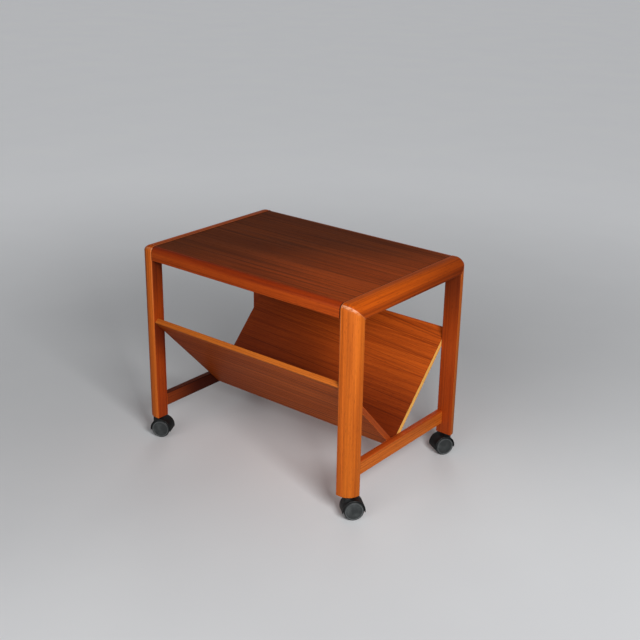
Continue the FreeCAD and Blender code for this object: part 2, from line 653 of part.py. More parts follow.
def make_axle(label):
    axle = new_body(label)
    section = draw_circles(new_sketch(axle, "section", "XZ_Plane"), [("0", "0")], cell("axle_radius"))
    add_pad(axle, section, cell("axle_length"), both_ways=True)
    return axle


def make_caster(side_name, end_name):
    """One twin-wheel caster: hood, axle and two wheels that turn on their own."""
    place = f"{end_name}_{side_name}"
    pieces = [make_hood(f"{place}_caster_hood"), make_axle(f"{place}_caster_axle")]
    pieces += [make_wheel(f"{place}_{wheel}", sign) for wheel, sign in WHEELS.items()]
    for piece in pieces:
        place_caster_piece(piece, side_name, end_name)


def check_and_export():
    """Stops on any failed object or bad shape, then writes one file per sub-part."""
    doc.recompute()
    failed = [item.Label for item in doc.Objects if {"Invalid", "Error"} & set(item.State)]
    bad = [piece.Label for piece in sub_parts if piece.Shape.isNull() or not piece.Shape.isValid()]
    if failed or bad:
        raise RuntimeError(f"failed objects {failed}, bad shapes {bad}")
    os.makedirs("parts", exist_ok=True)
    for piece in sub_parts:
        piece.Shape.exportStep(f"parts/{piece.Label}.step")
        print(f"{piece.Label}: {len(piece.Shape.Solids)} solid(s), {piece.Shape.Volume:.0f} mm3")


make_table_top()
for one_side in SIDES:
    make_rail(one_side)
    make_stretcher(one_side)
    for one_end in ENDS:
        make_leg(one_side, one_end)
        make_caster(one_side, one_end)
for one_end in ENDS:
    make_rack_panel(one_end)
make_joint_pieces()
make_stem_pieces()
check_and_export()
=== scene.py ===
# %% [markdown]
# # A teak magazine table on casters
# The packed model gives every piece of the table in metres, standing on the floor with its middle
# over the origin. This lesson dresses that frame. The curved pieces are rebuilt as smooth surfaces
# worked out with numpy, because the packed ones are made of flat triangles, and every piece gets a
# wood, plastic or steel made from shader nodes.

# %% Load the frame
import json
import math

import bmesh
import bpy
import numpy as np
from mathutils import Matrix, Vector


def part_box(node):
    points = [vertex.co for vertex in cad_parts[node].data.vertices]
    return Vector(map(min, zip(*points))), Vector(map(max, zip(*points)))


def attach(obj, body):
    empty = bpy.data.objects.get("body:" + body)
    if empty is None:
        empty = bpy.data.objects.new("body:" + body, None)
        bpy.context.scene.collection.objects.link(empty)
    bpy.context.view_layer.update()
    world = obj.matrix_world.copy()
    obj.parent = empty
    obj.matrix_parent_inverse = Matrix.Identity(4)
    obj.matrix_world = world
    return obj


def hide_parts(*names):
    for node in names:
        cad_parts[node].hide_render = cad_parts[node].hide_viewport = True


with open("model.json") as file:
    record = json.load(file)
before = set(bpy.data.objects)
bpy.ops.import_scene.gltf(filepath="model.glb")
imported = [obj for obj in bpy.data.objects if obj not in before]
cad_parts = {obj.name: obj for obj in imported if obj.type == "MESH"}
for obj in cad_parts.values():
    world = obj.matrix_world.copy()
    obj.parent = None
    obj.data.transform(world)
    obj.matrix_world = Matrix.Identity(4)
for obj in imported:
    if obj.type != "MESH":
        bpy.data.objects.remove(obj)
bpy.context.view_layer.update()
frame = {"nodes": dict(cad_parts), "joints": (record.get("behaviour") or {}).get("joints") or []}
nodes = frame["nodes"]
joints = {joint["name"]: joint for joint in frame["joints"]}

# %% [markdown]
# ## Measures of the table
# A node's box says where its piece stands, so the pieces made here follow the CAD sizes. Only what a
# box can't tell, such as the slope of the rack's panels, is written down again.

# %% Measures
MM = 0.001
X, Y, Z = np.eye(3)
SIDES = {"right": 1, "left": -1}
ENDS = {"front": -1, "back": 1}
CORNERS = {f"{end}_{side}": (SIDES[side], ENDS[end]) for side in SIDES for end in ENDS}

(X_IN, Y_IN, Z_FOOT), (X_OUT, Y_OUT, _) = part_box("back_right_leg")
Z_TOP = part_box("right_top_rail")[1].z
MEMBER_WIDTH = X_OUT - X_IN
MEMBER_DEPTH = Y_OUT - Y_IN

RACK_TILT = math.radians(47)
RACK_THICKNESS = 12 * MM
PANEL_SLOPE = np.array([math.cos(RACK_TILT), math.sin(RACK_TILT)])
PANEL_NORMAL = np.array([-math.sin(RACK_TILT), math.cos(RACK_TILT)])


def panel_top(node):
    """The outer upper corner of a rack panel: distance from the table's middle, and height. The box of its
    lipping ends higher by the panel's thickness, laid square to the slope."""
    low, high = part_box(node)
    return np.array([max(abs(low.y), abs(high.y)), high.z]) - PANEL_NORMAL * [0, RACK_THICKNESS]


print(f"end frames stand {X_IN:.4f} to {X_OUT:.4f} m from the middle, top at {Z_TOP:.4f} m")

# %% [markdown]
# ## From arrays to a mesh
# Each piece is a stack of outlines, one row of points per step along the piece. Quads join each row to
# the next and one face closes each end. Doubled points are merged, faces turned outwards, and edges
# sharper than a set angle stay crisp while the rest shades smoothly. Bevels on a box could give nearly
# the same forms, but a surface with a formula keeps to the measures by itself.

# %% Mesh helpers
SHARP_ANGLE = math.radians(32)
SAME_POINT = 1e-7


def tube_faces(rows, columns, first):
    """Corner numbers of a closed tube, counted from a first point: quads from each row to the next, round
    the outline, then one face over the first row and one over the last."""
    row, column = np.meshgrid(np.arange(rows - 1), np.arange(columns), indexing="ij")
    beside = (column + 1) % columns
    quads = np.stack([row * columns + column, row * columns + beside,
                      (row + 1) * columns + beside, (row + 1) * columns + column], -1)
    ends = np.arange(columns) + np.array([[0], [(rows - 1) * columns]])
    return (first + quads.reshape(-1, 4)).tolist() + (first + ends).tolist()


def make_piece(name, tubes, body, replaced, material):
    """One object from one or more closed tubes, each an array of rows by columns by xyz."""
    faces, first = [], 0
    for tube in tubes:
        rows, columns, _ = tube.shape
        faces += tube_faces(rows, columns, first)
        first += rows * columns
    mesh = bpy.data.meshes.new(name)
    mesh.from_pydata(np.concatenate([tube.reshape(-1, 3) for tube in tubes]), [], faces)
    work = bmesh.new()
    work.from_mesh(mesh)
    bmesh.ops.remove_doubles(work, verts=work.verts, dist=SAME_POINT)
    bmesh.ops.dissolve_degenerate(work, edges=work.edges, dist=SAME_POINT)
    bmesh.ops.recalc_face_normals(work, faces=work.faces)
    work.to_mesh(mesh)
    work.free()
    mesh.shade_smooth()
    mesh.set_sharp_from_angle(angle=SHARP_ANGLE)
    mesh.materials.append(material)
    piece = bpy.data.objects.new(name, mesh)
    bpy.context.scene.collection.objects.link(piece)
    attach(piece, body)
    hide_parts(replaced)


print(f"a tube of 3 rows and 4 columns has {len(tube_faces(3, 4, 0))} faces")

# %% [markdown]
# ## An outline with rounded corners
# Legs, rails, bars and the casters' roofs all start from a section with rounded corners. An outline that
# is moved inwards keeps its number of points, so it can be joined to the full one point by point, which
# eases the end of a bar.


# %% Rounded outline
def rounded_outline(corners, radii, steps=13, inset=0.0):
    """A convex outline with rounded corners. Each arc is centred where the lines one radius inside
    both sides cross, and turns evenly from one side's direction to the other's. The inset moves the
    whole outline inwards, which shortens every radius by the same length."""
    corners, radii = np.asarray(corners, float), np.asarray(radii, float)[:, None]
    back = np.roll(corners, 1, 0) - corners
    ahead = np.roll(corners, -1, 0) - corners
    back /= np.linalg.norm(back, axis=1, keepdims=True)
    ahead /= np.linalg.norm(ahead, axis=1, keepdims=True)
    half = 0.5 * np.arccos((back * ahead).sum(1, keepdims=True))
    bisector = (back + ahead) / np.linalg.norm(back + ahead, axis=1, keepdims=True)
    keep = np.maximum(radii, inset)
    centre = corners + bisector * keep / np.sin(half)
    foot = keep / np.tan(half)
    start, end = corners + back * foot - centre, corners + ahead * foot - centre
    sweep = (math.pi - 2 * half)[:, None]
    share = np.linspace(0, 1, steps)[None, :, None]
    spoke = np.sin((1 - share) * sweep) * start[:, None] + np.sin(share * sweep) * end[:, None]
    shrink = ((keep - inset) / keep)[:, None]
    return (centre[:, None] + spoke / np.sin(sweep) * shrink).reshape(-1, 2)


rounded_square = rounded_outline([(0, 0), (1, 0), (1, 1), (0, 1)], [0.1] * 4)
print(f"a rounded square has {len(rounded_square)} points")

# %% [markdown]
# ## Shader sums as Python
# A wood's figure is a sum of many small pieces of maths. This class wraps one output socket of a node
# tree, so that a plus or a minus in Python adds the Math node for it. Its one method *node* makes any
# other node: settings first, then a value or a link for each input. Hundreds of nodes could be wired by
# hand instead, but a formula is easier to read and to use again.


# %% The wire class
def operator(operation, reflected=False):
    """A method that adds the Math node of that name. The reflected form, as in 1 - mask, has the wire on
    the right."""

    def method(self, other=0.0):
        first, second = (other, self) if reflected else (self, other)
        return self.node("ShaderNodeMath", {"operation": operation}, {0: first, 1: second})

    return method


class Wire:
    """An output socket that takes part in arithmetic."""

    __add__ = __radd__ = operator("ADD")
    __mul__ = __rmul__ = operator("MULTIPLY")
    __sub__, __rsub__ = operator("SUBTRACT"), operator("SUBTRACT", reflected=True)
    __truediv__, __rtruediv__ = operator("DIVIDE"), operator("DIVIDE", reflected=True)
    __pow__, __rpow__ = operator("POWER"), operator("POWER", reflected=True)
    __abs__, floor, larger = operator("ABSOLUTE"), operator("FLOOR"), operator("MAXIMUM")

    def __init__(self, tree, socket=None):
        self.tree, self.socket = tree, socket

    def node(self, kind, settings=None, inputs=None, output=0):
        """Any node, and a wire from one of its outputs."""
        made = self.tree.nodes.new(kind)
        for key, setting in (settings or {}).items():
            setattr(made, key, setting)
        for key, given in (inputs or {}).items():
            if isinstance(given, Wire):
                self.tree.links.new(given.socket, made.inputs[key])
            else:
                made.inputs[key].default_value = given
        return Wire(self.tree, made.outputs[output])

    def rise(self, low, high):
        """0 below low, 1 above high and a smooth rise between them."""
        return self.node("ShaderNodeMapRange", {"interpolation_type": "SMOOTHSTEP"},
                         {0: self, 1: low, 2: high})

    def blend(self, colour_at_0, colour_at_1, kind="MIX"):
        """A colour between two others."""
        return self.node("ShaderNodeMix", {"data_type": "RGBA", "blend_type": kind},
                         {0: self, 6: colour_at_0, 7: colour_at_1}, 2)

    def tinted_by(self, colour, tint):
        """A colour multiplied by a tint where this share is 1, so that its figure still shows. The woods
        paint light and shade with it.
        """
        return self.blend(colour, tint, "MULTIPLY")

    def dot(self, direction):
        """How far a point lies along a direction."""
        return self.node("ShaderNodeVectorMath", {"operation": "DOT_PRODUCT"},
                         {0: self, 1: tuple(direction)}, "Value")

    def minus(self, place):
        """A point measured from another place."""
        return self.node("ShaderNodeVectorMath", {"operation": "SUBTRACT"}, {0: self, 1: tuple(place)})

    def length(self):
        """How far a point lies from where it is measured."""
        return self.node("ShaderNodeVectorMath", {"operation": "LENGTH"}, {0: self}, "Value")

    def noise_at(self, scale, detail=2.0):
        """Cloudy values about one half, read at a point; the scale is in clouds per metre."""
        return self.node("ShaderNodeTexNoise", None, {"Vector": self, "Scale": scale, "Detail": detail})


print("wire methods:", *(name for name in vars(Wire) if name[0] != "_"))

# %% [markdown]
# ## Materials and colours
# Every finish reads Object coordinates. All pieces sit at the origin, so these are metres in the table's
# own frame, and a figure stays in its piece when the piece moves. An unwrapped image would need seams.
# Colours are written as a picture shows them.


# %% Material helpers
def new_material(name):
    """An empty material: its shader, and a wire to start from that reads Object coordinates."""
    material = bpy.data.materials.new(name)
    material.use_nodes = True
    shader = material.node_tree.nodes["Principled BSDF"]
    position = Wire(material.node_tree).node("ShaderNodeTexCoord", output="Object")
    return material, shader, position


def connect(shader, **inputs):
    """Links each wire to the shader input of that name, such as Base_Color, or sets a plain value."""
    for name, given in inputs.items():
        socket = shader.inputs[name.replace("_", " ")]
        if isinstance(given, Wire):
            given.tree.links.new(given.socket, socket)
        else:
            socket.default_value = given


def srgb(red, green, blue):
    """A colour as a picture shows it, 0 to 255, turned into the linear numbers that a shader takes."""
    share = np.array([red, green, blue]) / 255
    linear = np.where(share <= 0.04045, share / 12.92, ((share + 0.055) / 1.055) ** 2.4)
    return (*linear.tolist(), 1.0)


print(f"a grey of 128 in a picture is {srgb(128, 128, 128)[0]:.3f} in a shader")

# %% [markdown]
# ## Teak
# Teak is oily and orange-brown, with dark lines where each year's growth ends and short dark pores
# along the grain. A board is cut out of a trunk, so its figure is worked out as in a trunk: the rings
# are cylinders round a pith line outside the board, bent a little by slow noise, and the board's faces
# cut through them. A pith far to one side gives straight lines, a pith just under the face and slightly
# tilted gives the long pointed arches of a crown-cut veneer. An image of wood would fit one face only.

# %% Layers of a wood
# Each layer of noise: clouds per metre along the grain and across it, an offset of its own, its detail.
SLOW_BEND = (1.3, 7.0, 3.1)
RIPPLE = (7.0, 45.0, 7.7)
FIBRE = (9.0, 380.0, 1.9, 3.0)
CLOUD = (2.2, 16.0, 5.3)
STRAND = (2.6, 150.0, 2.4)
PORES = (75.0, 1500.0, 8.8, 1.0)
RIPPLE_SHARE = 0.16
BUMP_STRENGTH = 0.35
GRAIN_DEPTH = 0.12 * MM


def year_lines(radius, ring, seed):
    """Dark lines where each year's growth ends. The ring number is the distance from the pith over the
    ring width, plus noise that makes some years broader. Within a ring the line rises slowly and ends
    at once, and each ring has a strength of its own."""
    count = radius / ring
    spread = count.node("ShaderNodeTexNoise", {"noise_dimensions": "1D"},
                        {"W": count * 0.31 + seed, "Scale": 1.0, "Detail": 1.0})
    count = count + spread * 2.6
    year = count.floor()
    season = count - year
    chance = count.node("ShaderNodeTexWhiteNoise", {"noise_dimensions": "1D"}, {"W": year + seed})
    return season.rise(0.30, 0.88) * (1 - season.rise(0.90, 1.0)) * (0.15 + 0.85 * chance * chance)


print("year lines and six layers of noise set")

# %% [markdown]
# ## The wood function
# One function makes all the woods of the table. It measures a point along, across and through the
# board, finds its place in the rings, and lays fibres, year lines, dark strands and pores over each
# other. Painted light and shade come next, then the marks, and pores and fibres also feed the bump.


# %% The wood function
def middle(node):
    """The middle of a node's box."""
    low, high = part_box(node)
    return (np.array(low) + np.array(high)) / 2


def wood(name, node, along, across, colours, ring=4.5 * MM, pith=(0.09, 0.05), tilt=(0.0, 0.0),
         wander=9 * MM, contrast=0.75, bold=0.3, gloss=0.44, level=0.25, seed=0.0,
         painted_shading=(), marks=()):
    """A wood for a node, its grain along one direction. Its rings are cylinders of equal steps in radius
    round the pith line, whose place is given across and through the board; tilt turns the line, slow
    noise makes it wander. contrast is the strength of the year lines, bold that of the dark strands.
    A painted shading or a mark is a mask, as a function of the position, with its tint or its paint. The
    shadings paint light and shade into the wood."""
    light, plain, dark, pore = colours
    material, shader, position = new_material(name)
    local = position.minus(middle(node))
    run, over, deep = local.dot(along), local.dot(across), local.dot(np.cross(along, across))

    def streaks(stretch, fineness, offset, detail=2.0):
        """Noise drawn out along the grain."""
        inputs = {0: run * stretch + (seed + offset), 1: over * fineness, 2: deep * fineness}
        return position.node("ShaderNodeCombineXYZ", None, inputs).noise_at(1.0, detail)

    bend = (streaks(*SLOW_BEND) - 0.5) * wander + (streaks(*RIPPLE) - 0.5) * (RIPPLE_SHARE * wander)
    side = over + run * tilt[0] + bend - pith[0]
    down = deep + run * tilt[1] - pith[1]
    line = year_lines((side * side + down * down) ** 0.5, ring, seed)

    fibre, cloud, strand = streaks(*FIBRE), streaks(*CLOUD), streaks(*STRAND)
    pores = streaks(*PORES).rise(0.60, 0.72)
    colour = (0.45 * fibre + 0.6 * strand + 0.45 * cloud - 0.25).rise(0.25, 0.75).blend(plain, light)
    colour = (line * contrast).blend(colour, dark)
    colour = (bold - bold * strand.rise(0.30, 0.52)).blend(colour, dark)
    colour = (pores * 0.55).blend(colour, pore)
    for mask, tint in painted_shading:
        colour = mask(position).tinted_by(colour, tint)
    for mask, paint in marks:
        colour = mask(position).blend(colour, paint)
    bump = position.node("ShaderNodeBump", None, {
        "Strength": BUMP_STRENGTH, "Distance": GRAIN_DEPTH,
        "Height": fibre * 0.5 - pores * 0.7 - line * 0.2})
    connect(shader, Base_Color=colour, Roughness=gloss + 0.16 * fibre - 0.08 * cloud + 0.1 * pores,
            Normal=bump, Specular_IOR_Level=level)
    return material


print("wood function ready, first used on the end frames")

# %% [markdown]
# ## The end frames
# Leg and top rail share one section: flat towards the table, a single large round on the outer edge.
# They meet in a mitre, where the two rounds form a ridge, and the maker has sanded the corner over:
# generously on the outer face, hardly at all further in. So each line of the section runs straight, then
# turns towards the mitre on an arc whose radius shrinks with the line's depth. That gives the soft ridge
# without any cutting of solids.

# %% Section and turn of a frame member
MEMBER_ROUND = 28 * MM
EDGE_EASE = 2.5 * MM
BACK_EASE = 1.6 * MM
FOOT_EASE = 1.2 * MM
CORNER_TURN = 13 * MM
RIDGE_TURN = 2.4 * MM
RIDGE_DEPTH = 14 * MM
TURN_END = 29 * MM
SECTION_CORNERS = [(0, MEMBER_DEPTH), (0, 0), (MEMBER_WIDTH, 0), (MEMBER_WIDTH, MEMBER_DEPTH)]
SECTION_RADII = [BACK_EASE, EDGE_EASE, MEMBER_ROUND, BACK_EASE]
section = rounded_outline(SECTION_CORNERS, SECTION_RADII)
foot_section = rounded_outline(SECTION_CORNERS, SECTION_RADII, inset=FOOT_EASE)


def smooth(share):
    """An S-curve from 0 to 1: three times the square less twice the cube."""
    share = np.clip(share, 0, 1)
    return share * share * (3 - 2 * share)


def turn_rows(steps=9):
    """Where the lines of the section go in the corner: depth below the outer face and distance from the
    corner's tip. Each line follows an arc from straight to the mitre, which it meets at 45 degrees."""
    depth = section[:, 1]
    radius = RIDGE_TURN + (CORNER_TURN - RIDGE_TURN) * (1 - smooth(depth / RIDGE_DEPTH))
    radius = radius * (1 - smooth((depth - RIDGE_DEPTH) / (TURN_END - RIDGE_DEPTH)))
    angle = np.linspace(0, math.pi / 4, steps)[:, None]
    inward = depth + radius * (1 - np.cos(angle))
    from_tip = depth + radius * (1 - np.sin(angle))
    return inward, from_tip


print(f"section {MEMBER_WIDTH / MM:.1f} x {MEMBER_DEPTH / MM:.1f} mm in {len(section)} lines")

# %% [markdown]
# ## A leg and a rail as tubes
# A leg runs from its eased foot up to the mitre plane, a rail from one mitre plane to the other. Both use
# the same turn, with height and depth changing places, so they meet exactly.


# %% Leg and rail
def leg_tube(side, end, foot_steps=5):
    """A leg from its eased foot, where the outline grows by a quarter circle, up to the mitre."""
    inward, from_tip = turn_rows()
    angle = np.linspace(0, math.pi / 2, foot_steps)[:, None, None]
    foot = section + (foot_section - section) * (1 - np.sin(angle))
    foot_height = np.broadcast_to(Z_FOOT + FOOT_EASE * (1 - np.cos(angle[..., 0])), foot.shape[:2])
    width = np.concatenate([foot[..., 0], np.broadcast_to(section[:, 0], inward.shape)])
    depth = np.concatenate([foot[..., 1], inward])
    height = np.concatenate([foot_height, Z_TOP - from_tip])
    return np.stack([side * (X_IN + width), end * (Y_OUT - depth), height], -1)


def rail_tube(side):
    """A top rail from mitre to mitre: the same turn at both ends, the second in reverse order."""
    inward, from_tip = turn_rows()
    width = np.broadcast_to(section[:, 0], inward.shape)
    halves = [np.stack([side * (X_IN + width), end * (Y_OUT - from_tip), Z_TOP - inward], -1)
              for end in ENDS.values()]
    return np.concatenate([halves[0][::-1], halves[1]])


print("a leg has", len(leg_tube(1, 1)), "rows, a rail", len(rail_tube(1)))

# %% [markdown]
# ## Marks of use and painted light
# On the worn corners the mitre shows as a pale line, broad at the tip where hands rub it, and a
# painted highlight lies on it. Where the top meets the rails, wax, dust and a painted shade of the gap
# darken the joint, and the edge beside it is rubbed a little pale, with a painted highlight line. All
# follow planes of the table, so each mask is worked out by the distance from such a plane, instead of
# being drawn on an image. Noise breaks them up, as real wear is uneven.

# %% Masks of wear and painted light
# Pale wear with a painted highlight on the edges, and dirt with painted shade in the joint.
WORN_HIGHLIT_TEAK = srgb(236, 182, 146)
RUBBED_HIGHLIT_TEAK = srgb(214, 136, 92)
JOINT_DIRT_AND_SHADE = srgb(40, 17, 8)


def below_top(position):
    """Depth below the upper face of the table."""
    return Z_TOP - position.dot(Z)


def beyond_joint(position):
    """Distance outwards from the plane in which the top meets the end frames."""
    return abs(position.dot(X)) - X_IN


def mitre_wear_and_highlight(position):
    """How much of the mitre is painted pale, partly as wear and partly as a highlight. On its plane the
    depths below the outer face and below the top are equal: there runs a fine line. On the leg's side of
    it the pale reaches further, in patches. Both fade from the corner's tip inwards, and the front right
    corner, where the painted highlight is brightest, gets most."""
    below_face = Y_OUT - abs(position.dot(Y))
    highlit_corner = (position.dot(X) - position.dot(Y)).rise(0.2, 0.42)
    tip = (1 - (below_face + below_top(position)).rise(9 * MM, 44 * MM)) * (0.35 + 0.65 * highlit_corner)
    patchy = position.noise_at(260.0).rise(0.3, 0.62)
    down_leg = below_top(position) - below_face
    line = (1 - abs(down_leg).rise(0.3 * MM, 0.9 * MM + tip * (1.6 * MM))) * (0.2 + 0.5 * tip)
    patch = (1 - abs(down_leg - 3 * MM).rise(1.5 * MM, 4.5 * MM)) * tip * 0.45
    return (line * (0.4 + 0.6 * patchy)).larger(patch * patchy)


def joint_dirt_and_shade(position):
    """How much of the joint between top and rails is darkened, by dirt and by painted shade in the gap:
    full within a hair of its plane.
    """
    return (1 - abs(beyond_joint(position)).rise(0.5 * MM, 1.8 * MM)) * 0.9


def edge_wear_and_highlight(position):
    """The inner edge of a frame member, rubbed pale by hands and with a painted highlight line along it: a
    fine line just outside the joint, which fades from the top down the leg and towards the back."""
    outside = beyond_joint(position)
    fine = outside.rise(1.0 * MM, 1.8 * MM) * (1 - outside.rise(2.0 * MM, 3.4 * MM))
    patchy = position.noise_at(120.0).rise(0.25, 0.6)
    upper = 1 - below_top(position).rise(40 * MM, 260 * MM)
    near = 1 - 0.8 * position.dot(Y).rise(-0.1, 0.15)
    return fine * (0.3 + 0.7 * patchy) * (0.12 + 0.4 * upper) * near


print("marks of wear: mitre, joint and inner edge")

# %% [markdown]
# ## Painted light and shade on the end frames
# The outermost faces of the legs are painted lighter, as light falls on them, while those that look
# inwards, or lie close under the top and the rack, are painted darker and redder, as shade. Each such
# region is a mask again, and its tint multiplies the wood's colour, so that the figure still shows
# through.


# %% Painted light and shade of the end frames
def painted_light(red, green, blue):
    """A tint of painted light or shade, as the shares of red, green and blue that it leaves of the colour
    below it.
    """
    return (red, green, blue, 1.0)


# Tints of painted light and shade: below one they darken a shaded face, above one they lighten a lit face.
INWARD_SHADE = painted_light(0.7, 0.41, 0.26)
FACING_SHADE = painted_light(0.66, 0.41, 0.5)
RAIL_SHADOW = painted_light(0.42, 0.42, 0.7)
PANEL_SHADOW_TINT = painted_light(0.36, 0.3, 0.5)
FRONT_LIGHT = painted_light(1.16, 1.1, 1.2)
RAIL_FALLOFF = painted_light(0.57, 0.51, 0.56)
RAIL_LOW_SHADE = painted_light(0.64, 0.58, 0.8)
RACK_TOP = panel_top("back_rack_top_lipping").tolist()


def inner_face(position):
    """The faces towards the table's middle, which get painted shade."""
    return 1 - beyond_joint(position).rise(0.1 * MM, 0.8 * MM)


def inside_frame(position):
    """The faces of the legs that look at each other across an end frame, which get painted shade."""
    return 1 - (abs(position.dot(Y)) - Y_IN).rise(0.1 * MM, 1.4 * MM)


def shade_below_rail(position):
    """The inward faces of a leg close below the rail, with the shade of the top painted on them."""
    inward = inner_face(position).larger(inside_frame(position))
    return inward * (1 - below_top(position).rise(40 * MM, 200 * MM))


def shadow_of_panel(position):
    """The painted shadow of a panel of the rack on the inner faces of the legs below it, darkest next to
    it. The depth is measured square to the panel, from its outer face."""
    outward = abs(position.dot(Y)) - RACK_TOP[0]
    upward = position.dot(Z) - RACK_TOP[1]
    below = math.sin(RACK_TILT) * outward - math.cos(RACK_TILT) * upward
    return inner_face(position) * below.rise(-0.5 * MM, 0.5 * MM) * (1 - below.rise(10 * MM, 75 * MM))


def lit_front(position):
    """The outermost faces of the legs at front and back, painted lighter where the light falls on them."""
    return 1 - (Y_OUT - abs(position.dot(Y))).rise(0.3 * MM, 1.5 * MM)


def falloff_to_back(position):
    """Painted falloff of the light along the end frame: rises from front to back, and less on the upper
    face of its rail.
    """
    return position.dot(Y).rise(-0.16, 0.2) * (0.5 + 0.5 * below_top(position).rise(1 * MM, 8 * MM))


def lower_outside(position):
    """The lower part of a rail, below its round, which is painted darker as shade."""
    return below_top(position).rise(8 * MM, 20 * MM)


print(f"the rack's panels end {RACK_TOP[1]:.4f} m above the floor")

# %% [markdown]
# ## Legs and top rails
# Four legs and two rails take the place of their CAD nodes. Every leg is cut from another part of the
# trunk: the pith line and the seed of the noise change from corner to corner. The grain runs up the legs
# and along the rails, so it turns at the mitre as it does in real joinery.


# %% Legs and top rails
def tones(*colours):
    """The four colours of a wood: light, plain, dark and the pores."""
    return [srgb(*colour) for colour in colours]


TEAK = tones((211, 109, 27), (188, 89, 15), (136, 57, 9), (111, 46, 9))
RAIL_TEAK = tones((206, 91, 11), (177, 72, 6), (120, 45, 5), (97, 37, 5))
# Painted shade on the inward faces, painted light on the front ones.
leg_painted_light = [(inner_face, INWARD_SHADE), (inside_frame, FACING_SHADE), (shade_below_rail, RAIL_SHADOW),
              (lit_front, FRONT_LIGHT), (shadow_of_panel, PANEL_SHADOW_TINT)]

for place, (side, end) in CORNERS.items():
    node = f"{place}_leg"
    finish = wood(f"{place}_leg_teak", node, Z, X, TEAK, ring=3.6 * MM,
                  pith=(0.06 * side, 0.05 * end), tilt=(0.012 * end, -0.008 * side), contrast=0.85,
                  seed=3.0 * side + end, painted_shading=leg_painted_light,
                  marks=[(edge_wear_and_highlight, RUBBED_HIGHLIT_TEAK), (mitre_wear_and_highlight, WORN_HIGHLIT_TEAK)])
    make_piece(f"{place}_leg_shaped", [leg_tube(side, end)], "table", node, finish)

for side_name, side in SIDES.items():
    node = f"{side_name}_top_rail"
    # Painted falloff towards the back and painted shade on the lower side of the rail.
    finish = wood(f"{side_name}_rail_teak", node, Y, X, RAIL_TEAK, ring=4.2 * MM,
                  pith=(0.05 * side, -0.06), tilt=(0.01, 0.006), contrast=0.9, bold=0.45, level=0.15,
                  seed=11.0 + side, painted_shading=[(falloff_to_back, RAIL_FALLOFF), (lower_outside, RAIL_LOW_SHADE)],
                  marks=[(edge_wear_and_highlight, RUBBED_HIGHLIT_TEAK), (joint_dirt_and_shade, JOINT_DIRT_AND_SHADE), (mitre_wear_and_highlight, WORN_HIGHLIT_TEAK)])
    make_piece(f"{side_name}_rail_shaped", [rail_tube(side)], "table", node, finish)
print("end frames: four legs and two rails of", len(section), "lines each")

# %% [markdown]
# ## Straight bars
# Stretchers, the bullnosed edges of the top and the edges of the rack are straight bars with eased
# corners. Each is one outline carried along the bar, drawn in a little at both ends, so that a fine
# dark groove marks the joint as it does on the real table.

# %% Straight bars
END_EASE = 0.5 * MM


def bar_tube(corners, radii, reach, place, steps=4):
    """An outline carried along a bar from -reach to reach. At each end a quarter circle draws it in.
    place turns distance along the bar and the outline's two coordinates into xyz."""
    full = rounded_outline(corners, radii)
    small = rounded_outline(corners, radii, inset=END_EASE)
    angle = np.linspace(0, math.pi / 2, steps)[:, None, None]
    rows = full + (small - full) * (1 - np.sin(angle))
    along = np.broadcast_to(reach - END_EASE * (1 - np.cos(angle[..., 0])), rows.shape[:2])
    rows, along = np.concatenate([rows, rows[::-1]]), np.concatenate([-along, along[::-1]])
    return np.stack(place(along, rows[..., 0], rows[..., 1]), -1)


print(f"bars are eased by {END_EASE / MM:.1f} mm at both ends")

# %% [markdown]
# ## Stretchers
# A low bar joins the two legs of each end frame, flush with their inner faces. Its inner and upper faces
# are painted darker, as shade, and the left one darker still, as the shade of the rack. A lamp can't be
# set for one face alone, so that shade is painted into the wood.

# %% Stretchers
STRETCHER_EASE = 1.2 * MM
STRETCHER_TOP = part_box("right_stretcher")[1].z
STRETCHER_TEAK = tones((224, 118, 38), (200, 98, 24), (148, 64, 14), (120, 50, 12))
# Painted shade: inner and upper faces, and the shade of the rack on the left stretcher.
STRETCHER_INNER_SHADE = painted_light(0.62, 0.44, 0.5)
STRETCHER_TOP_SHADE = painted_light(0.76, 0.48, 0.4)
RACK_SHADE_INSIDE = painted_light(0.13, 0.09, 0.09)
RACK_SHADE_ON_TOP = painted_light(0.16, 0.16, 0.2)


def upper_face(position):
    """The upper face of a stretcher, which is painted darker as shade."""
    return position.dot(Z).rise(STRETCHER_TOP - 3 * MM, STRETCHER_TOP - 0.6 * MM)


def towards_left(position):
    """Rises along the table from right to left."""
    return 1 - position.dot(X).rise(-0.26, 0.2)


def shaded_inside(position):
    """The inner face at the left end, painted dark as the shade of the rack, most towards its middle."""
    along = 0.45 + 0.55 * position.dot(Y).rise(-0.19, -0.06)
    return inner_face(position) * towards_left(position) * along


def shaded_top(position):
    """The upper face at the left end, painted dark as the shade under the rack."""
    return upper_face(position) * towards_left(position)


for side_name, side in SIDES.items():
    node = f"{side_name}_stretcher"
    low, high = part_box(node)
    square = [(low.x, low.z), (high.x, low.z), (high.x, high.z), (low.x, high.z)]
    tube = bar_tube(square, [STRETCHER_EASE] * 4, high.y, lambda run, u, v: (u, run, v))
    finish = wood(f"{side_name}_stretcher_teak", node, Y, Z, STRETCHER_TEAK, ring=3.8 * MM,
                  pith=(-0.07, 0.04 * side), tilt=(0.01, 0.0), contrast=0.9, seed=21.0 + side,
                  painted_shading=[(inner_face, STRETCHER_INNER_SHADE), (upper_face, STRETCHER_TOP_SHADE), (shaded_inside, RACK_SHADE_INSIDE),
                          (shaded_top, RACK_SHADE_ON_TOP)])
    make_piece(f"{side_name}_stretcher_shaped", [tube], "table", node, finish)
print(f"two stretchers made, {2 * high.y:.4f} m long")

# %% [markdown]
# ## The top's edges
# Solid teak lips the top at front and back. Its upper corner is a large round, a bullnose, painted
# darker as shade on a face that looks up. A bevel on a box would do as well, but here the bar's outline
# only needs one larger radius.

